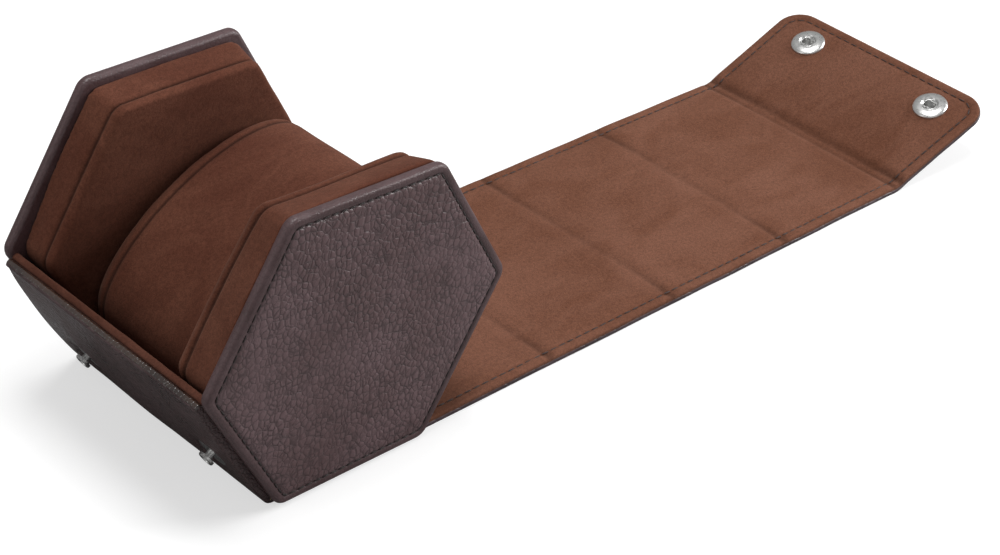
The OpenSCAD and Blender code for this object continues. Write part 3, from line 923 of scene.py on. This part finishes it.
def leather_strip(index):
    """Outer leather of one stretch of the flap, turned up along its edges."""
    x_rows = piece_rows(index, None, 0, 1.6 * MM)
    shares = [0, 0.15, 0.3, 0.45, 0.6, 0.75, 0.9, 0.945, 0.96, 0.975, 0.985, 0.992, 0.997, 1.0]
    obj = flap_sheet("flap_leather_%d" % (index + 1), x_rows, shares, 0, 0, fold_z + lip_rise)
    if index == 4:
        socket_holes(obj)
    co = points_of(obj)
    depth = edge_depth(co, 0)
    top = co[:, 2] > fold_z
    fall = rounded_off(depth, 0.5 * MM)
    co[:, 2] += np.where(top, -fall, fall)
    co[:, 2] = np.where(top & (depth > 1.6 * MM), fold_z - 0.2 * MM, co[:, 2])
    co = wander_edges(co)
    if index == 0:
        inside_case = 1 - step(co[:, 0], creases[0] - 4 * MM, creases[0] + 1 * MM)
        co[:, 1] *= 1 + inside_case * (wall_y / flap_half - 1)
        under_wall = (inside_case > 0.01) & top
        co[:, 2] = np.where(under_wall, np.minimum(co[:, 2], fold_z), co[:, 2])
    move_points(obj, co)
    if index == 4:
        raised(obj)
    solids = [solids_of(index) + "leather", solids_of(index) + "board"]
    if index == 0:
        solids.append("bottom_leather")
    finish(obj, (flap_leather, flap_edge), index, 50, solids)
    second_material(obj, [
        depth[list(face.vertices)].max() < 1.7 * MM or face.normal.z > 0.5
        for face in obj.data.polygons])


def suede_strip(index):
    """Suede of one stretch of the flap, with its sewn groove and soft folds."""
    start = creases[0] + 0.05 * MM if index == 0 else None
    inset = 0.15 * MM
    x_rows = piece_rows(index, start, inset, 1.3 * MM)
    near_edge = (0.0, 0.06, 0.16, 0.3, 0.5, 0.75, 1.05, 1.4, 1.8, 2.2, 2.5, 2.75, 3.0, 3.25, 3.5,
                 3.8, 4.3, 5.2)
    half = flap_half - inset
    middle = rows(0, half - 6.4 * MM, 1.7 * MM)
    shares = [m / half for m in middle] + [1 - d * MM / half for d in reversed(near_edge)]
    obj = flap_sheet("flap_suede_%d" % (index + 1), x_rows, shares, inset,
                     fold_z + 0.05 * MM, flap_top)
    if index == 4:
        socket_holes(obj)
    co = points_of(obj)
    depth = edge_depth(co, inset)
    top = co[:, 2] > flap_top - 0.01 * MM
    sewn = dip(depth, stitch_in, 0.75 * MM)
    shape = -rounded_off(depth, flap_top - fold_z - lip_rise + 0.1 * MM)
    shape -= 0.34 * MM * sewn
    shape += 0.16 * MM * step(depth, stitch_in + 0.5 * MM, stitch_in + 5 * MM)
    towards_edge = step(np.abs(co[:, 1]), 0.35 * half, half)
    folds = np.zeros(len(co))
    for k, crease in enumerate(creases[1:4]):
        stray = wave(lanes(co), 26 * MM, 81.0 + k) * 1.1 * MM
        fold = dip(co[:, 0], crease + stray, 2.6 * MM) * (0.5 + 0.5 * towards_edge)
        folds = np.maximum(folds, fold)
    stray = wave(lanes(co), 26 * MM, 87.0) * 0.8 * MM
    for offset, width in ((-1.9, 2.0), (1.7, 2.6)):
        fold = dip(co[:, 0], creases[4] + offset * MM + stray, width * MM)
        folds = np.maximum(folds, fold * (0.6 + 0.4 * towards_edge))
    swollen = np.zeros(len(co))
    for crease in creases[1:]:
        for beside in (-5 * MM, 5 * MM):
            swollen += dip(co[:, 0], crease + beside, 3.6 * MM)
    shape += (0.14 * swollen - 0.46 * folds) * MM * step(depth, 0, 1.2 * MM)
    level = co * np.array([1, 1, 0])
    slow = wave(level, 11 * MM, 41.0) * 0.09 * MM + wave(level, 30 * MM, 43.0) * 0.14 * MM
    shape += slow * step(depth, 0, 2 * MM)
    deepest = -(flap_top - fold_z - 0.2 * MM)
    co[:, 2] += np.where(top, np.maximum(shape, deepest), 0)
    move_points(obj, wander_edges(co))
    # Painted shade in the sewn groove, in the folds at the creases and along the rounded edge
    rim = 0.45 * (1 - step(depth, 0, 0.5 * MM))
    lay_shade(obj, np.maximum(0.25 * sewn, np.maximum(folds * 0.6, rim)))
    if index == 4:
        raised(obj)
    body = "flap_panel_1" if index == 0 else index
    finish(obj, [flap_suede], body, 60, [solids_of(index) + "lining"])


# -------- body walls
# Thickness of a wall's leather with its board, and of its suede, which starts a little lower
wall_skin, wall_lining, lining_drop = 1.75 * MM, 2.15 * MM, 0.25 * MM


def wall_frame(name, angle, proud):
    """Place of a wall: x down its outer face, y along the case, z outwards, and its length."""
    top_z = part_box("front_leather")[1][2]
    normal = Vector((math.cos(math.radians(angle)), 0, math.sin(math.radians(angle))))
    down = Vector((normal.z, 0, -normal.x)) * (-1 if normal.x < 0 else 1)
    top = Vector((0, 0, centre_z)) + normal * (apothem + proud)
    top += down * ((top_z - top.z) / down.z)
    place = Matrix(((down.x, 0, normal.x, top.x), (0, 1, 0, 0),
                    (down.z, 0, normal.z, top.z), (0, 0, 0, 1)))
    return place, (top_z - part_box(name + "_leather")[0][2]) / -down.z


def wall_slab(name, x0, x1, z0, z1, half, cuts_x, cuts_y):
    """A flat slab cut into rows, left in edit mode ready to be shaped."""
    bpy.ops.mesh.primitive_cube_add(size=1, location=((x0 + x1) / 2, 0, (z0 + z1) / 2))
    obj = named(name)
    obj.scale = (x1 - x0, 2 * half, z1 - z0)
    settle(obj)
    edit(obj)
    for x in cuts_x:
        select_whole()
        bpy.ops.mesh.bisect(plane_co=(x, 0, 0), plane_no=(1, 0, 0))
    for k in range(1, cuts_y):
        select_whole()
        bpy.ops.mesh.bisect(plane_co=(0, half * (2 * k / cuts_y - 1), 0), plane_no=(0, 1, 0))
    return obj


def wrap_corner(co, start, radius):
    """Bend a slab's outer face by 60 degrees round a corner that begins at x = start."""
    turn = np.clip((co[:, 0] - start) / radius, 0, TURN)
    past = np.maximum(co[:, 0] - start - radius * TURN, 0)
    before = np.minimum(co[:, 0], start)
    arm = radius + co[:, 2]
    out = co.copy()
    out[:, 0] = before + arm * np.sin(turn) + past * math.cos(TURN)
    out[:, 2] = arm * np.cos(turn) - radius - past * math.sin(TURN)
    return out


def stud_places(place):
    """The middles of the two studs, down and along the front wall."""
    low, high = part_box("snap_studs")
    middle = Vector(((low[0] + high[0]) / 2, 0, (low[2] + high[2]) / 2))
    x, y = (place.inverted() @ middle).x, high[1] - plate_half
    return (x, y), (x, -y)


def wall_leather_sheet(name, angle, proud, bulge, corner):
    """Leather of an upright wall; corner is the radius of its fold under the case, or 0."""
    half = wall_y - 0.02 * MM
    place, length = wall_frame(name, angle, proud)
    end = length
    cuts = [0.9 * MM, 1.7 * MM] + list(np.linspace(3.2 * MM, length - 3.4 * MM, 22))
    if corner:
        down, top, fold = place.col[0], place.translation, corner * math.tan(TURN / 2)
        reach = top.z / -down.z
        start = reach - fold
        bent = start + corner * TURN
        end = bent + joins[0] - (top.x + down.x * reach + fold)
        cuts = [c for c in cuts if c < start - 1 * MM]
        cuts += [start + corner * TURN * k / 8 for k in range(9)]
        cuts += list(np.linspace(bent, end, 8))[1:-1]
    obj = wall_slab(name + "_wall_leather", 0, end, -wall_skin, 0, half, cuts, 46)
    pick(obj, "edges", lambda a, b: max(a.x, b.x) < TINY and abs(a.z - b.z) < TINY)
    round_edges(0.84 * MM, 6)
    pick(obj, "edges", lambda a, b: min(abs(a.y), abs(b.y)) > half - TINY and min(a.z, b.z) > -TINY)
    round_edges(0.45 * MM, 3)
    leave()
    tidy_normals(obj)
    co = points_of(obj)
    flat = co.copy()
    x = co[:, 0]
    along = co[:, 1] / half
    upright = 1 - step(x, length - 6 * MM, length - 1 * MM)
    slack = 1 - np.where(along < 0, 0.6, 0.15) * np.abs(along) ** 3
    rise = bulge * np.sin(np.clip(x / length, 0, 1) * math.pi) ** 0.8 * slack
    ripple = wave(co, 14 * MM, 5.0 + angle)
    rise += (0.24 * ripple if corner else 0.1 * ripple - 0.2) * MM * step(x, 0.6 * MM, 6 * MM)
    if corner:
        rise += 0.3 * MM * dip(x, 0.9 * MM, 1.0 * MM)
        for stud in stud_places(place):
            away = np.hypot(x - stud[0], co[:, 1] - stud[1])
            rise *= 0.1 + 0.9 * step(away, 2.8 * MM, 9 * MM)
    co[:, 2] += rise * step(co[:, 2], -wall_skin, 0) * upright
    lane = lanes(co)
    wander = 0.12 * wave(lane, 5 * MM, 61.0) + 0.16 * wave(lane, 16 * MM, 67.0)
    co[:, 0] += wander * MM * (x < 1 * MM)
    if corner:
        under = step(co[:, 0], start, bent)
        co[:, 2] *= 1 + under * (fold_z / wall_skin - 1)
        co = wrap_corner(co, start, corner)
    move_points(obj, co)
    obj.data.transform(place)
    tidy_normals(obj)
    solids = [name + "_leather", name + "_board"]
    finish(obj, (wall_leather, edge_leather), "case", 50, solids)
    second_material(obj, [
        flat[list(face.vertices), 0].mean() < 0.5 * MM
        and flat[list(face.vertices), 2].mean() < -0.25 * MM for face in obj.data.polygons])


def wall_suede_sheet(name, angle, proud):
    """Suede on the inside of an upright wall."""
    place, length = wall_frame(name, angle, proud)
    end = length - 3 * MM
    obj = wall_slab(name + "_wall_suede", lining_drop, end, -wall_skin - wall_lining, -wall_skin,
                    wall_y - 0.02 * MM, list(np.linspace(lining_drop, end, 14))[1:-1], 44)
    pick(obj, "edges", lambda a, b: max(a.x, b.x) < lining_drop + TINY and abs(a.z - b.z) < TINY)
    round_edges(0.85 * MM, 5)
    leave()
    tidy_normals(obj)
    co = points_of(obj)
    co[:, 2] += 0.14 * MM * wave(co, 8 * MM, 15.0) * (co[:, 2] < -wall_skin - 0.5 * MM)
    co[:, 0] += np.where(co[:, 0] < 1.5 * MM, 0.18 * MM * wave(co, 6 * MM, 19.0), 0)
    move_points(obj, co)
    obj.data.transform(place)
    tidy_normals(obj)
    finish(obj, [lining_suede], "case", 60, [name + "_lining"])


def bottom_suede():
    """Suede on the inside of the bottom wall."""
    low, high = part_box("bottom_lining")
    middle_z = (low[2] + high[2]) / 2
    bpy.ops.mesh.primitive_cube_add(size=1, location=((low[0] + high[0]) / 2, 0, middle_z))
    obj = named("bottom_wall_suede")
    obj.scale = (high[0] - low[0] - 0.6 * MM, 2 * wall_y - 0.1 * MM, high[2] - low[2])
    settle(obj)
    edit(obj)
    select_whole()
    bpy.ops.mesh.subdivide(number_cuts=24)
    leave()
    co = points_of(obj)
    co[:, 2] += np.where(co[:, 2] > middle_z, 0.12 * MM * wave(co, 9 * MM, 25.0), 0)
    move_points(obj, co)
    finish(obj, [lining_suede], "case", 60, ["bottom_lining"])


# -------- build
def panel_stitches(label, way):
    """Running stitches in the groove round the face of one end panel."""
    path = hexagon_path(apothem - groove_in, 2.2 * MM, way * (panel_y - 0.16 * MM))
    stitch_row(label + "_panel_stitches", sagged(path, way), (0, way, 0), brown_thread, "case",
               length=1.8, gap=0.8, width=0.5)


def flap_stitches():
    """Running stitches in the groove round the flap, one row for each stretch."""
    inset = stitch_in + 0.15 * MM
    half = flap_half - inset
    height = flap_top - 0.2 * MM

    def sew(name, points, body):
        points = wander_edges(np.array([(x, y, height) for x, y in points]))
        return stitch_row(name, points, (0, 0, 1), flap_thread, body,
                          length=2.1, gap=1.0, width=0.42)

    for part in range(4):
        start = creases[0] + 1.5 * MM if part == 0 else joins[part]
        for label, way in ENDS:
            sew("flap_stitches_%d_%s" % (part + 1, label),
                [(x, way * half) for x in np.linspace(start, joins[part + 1], 40)],
                "flap_panel_1" if part == 0 else part)
    radius = tip_corner - inset
    corner_x, corner_y = tip_end - tip_corner, flap_half - tip_corner
    quarter = np.linspace(0, math.pi / 2, 10)
    points = [(x, -half) for x in np.linspace(joins[4], corner_x, 40)]
    points += [(corner_x + radius * math.sin(a), -corner_y - radius * math.cos(a))
               for a in quarter[1:]]
    points += [(corner_x + radius * math.cos(a), corner_y + radius * math.sin(a))
               for a in quarter]
    points += [(x, half) for x in np.linspace(corner_x, joins[4], 40)[1:]]
    row = sew("flap_stitches_5", points, None)
    move_points(row, fold_over(points_of(row), creases[4], tip_raise, BEND))
    hang(row)


for build in (end_panel, panel_stitches, pad):
    for label, way in ENDS:
        build(label, way)
cushion()
for label, angle, proud, bulge, corner in (
        ("front", 210, 1.4 * MM, 1.7 * MM, 3.0 * MM), ("back", 330, -0.5 * MM, 0, 0)):
    wall_leather_sheet(label, angle, proud, bulge, corner)
    wall_suede_sheet(label, angle, proud)
bottom_suede()
for part in range(5):
    leather_strip(part)
    suede_strip(part)
flap_stitches()


# -------- stage, lights and camera
def build_stage():
    """Pale floor and pale surroundings, paler to the camera than to what they light."""
    bpy.ops.mesh.primitive_plane_add(size=6, location=(0, 0, -0.02 * MM))
    floor = named("studio_floor")
    material, n, shader = new_material("pale floor")
    rays = n.add("ShaderNodeLightPath").outputs
    tone = n.minus(0.48, n.times(rays["Is Glossy Ray"], 0.2))
    n.fill(shader, {"Base Color": n.grey(tone), "Roughness": 0.9, "Specular IOR Level": 0.1})
    glow = n.add("ShaderNodeEmission", {
        "Color": (1, 1, 1, 1), "Strength": n.times(rays["Is Camera Ray"], 0.6)})
    both = n.add("ShaderNodeAddShader", {0: shader.outputs[0], 1: glow.outputs[0]})
    n.put(material.node_tree.nodes["Material Output"].inputs["Surface"], both.outputs[0])
    floor.data.materials.append(material)

    world = bpy.data.worlds.new("studio")
    bpy.context.scene.world = world
    world.use_nodes = True
    n = Nodes(world.node_tree)
    world.node_tree.nodes.clear()
    rays = n.add("ShaderNodeLightPath").outputs
    mirrored = n.times(n.math("MAXIMUM", rays["Is Glossy Ray"], rays["Is Transmission Ray"]), 0.2)
    strength = n.plus(n.plus(n.times(rays["Is Camera Ray"], 0.6), mirrored), 0.22)
    back = n.add("ShaderNodeBackground", {"Color": (1, 1, 1, 1), "Strength": strength})
    n.add("ShaderNodeOutputWorld", {"Surface": back.outputs[0]})


def lamp(name, place, target, size, watts):
    """A soft rectangular lamp at a place, turned to its target."""
    light = bpy.data.lights.new(name, "AREA")
    light.shape = "RECTANGLE"
    light.size, light.size_y = size
    light.energy = watts
    obj = bpy.data.objects.new(name, light)
    bpy.context.collection.objects.link(obj)
    obj.location = place
    obj.rotation_euler = (Vector(target) - Vector(place)).to_track_quat("-Z", "Y").to_euler()


def build_camera():
    camera = bpy.data.cameras.new("camera")
    camera.sensor_width = 36
    camera.lens = 86.26
    camera.clip_start = 0.01
    obj = bpy.data.objects.new("camera", camera)
    bpy.context.collection.objects.link(obj)
    right = Vector((0.71799, -0.69060, 0.08698)).normalized()
    back = Vector((-0.61212, -0.56697, 0.55123)).normalized()
    up = back.cross(right).normalized()
    obj.matrix_world = Matrix((
        (right.x, up.x, back.x, -0.32177),
        (right.y, up.y, back.y, -0.38124),
        (right.z, up.z, back.z, 0.37126),
        (0, 0, 0, 1)))
    bpy.context.scene.camera = obj


build_stage()
build_camera()
lamp("overhead", (0.03, 0.08, 1.05), (0.06, 0.0, 0.0), (0.5, 0.5), 8.2)
lamp("front fill", (-0.45, -0.75, 0.45), (0.0, 0.0, 0.04), (0.7, 0.5), 0.6)
lamp("left strip", (-0.8, 0.25, 0.4), (0.0, 0.0, 0.04), (0.3, 0.7), 0.9)
lamp("right card", (0.85, -0.42, 0.42), (0.0, -0.04, 0.04), (0.4, 0.45), 8.5)
bpy.context.scene.view_settings.view_transform = "Standard"
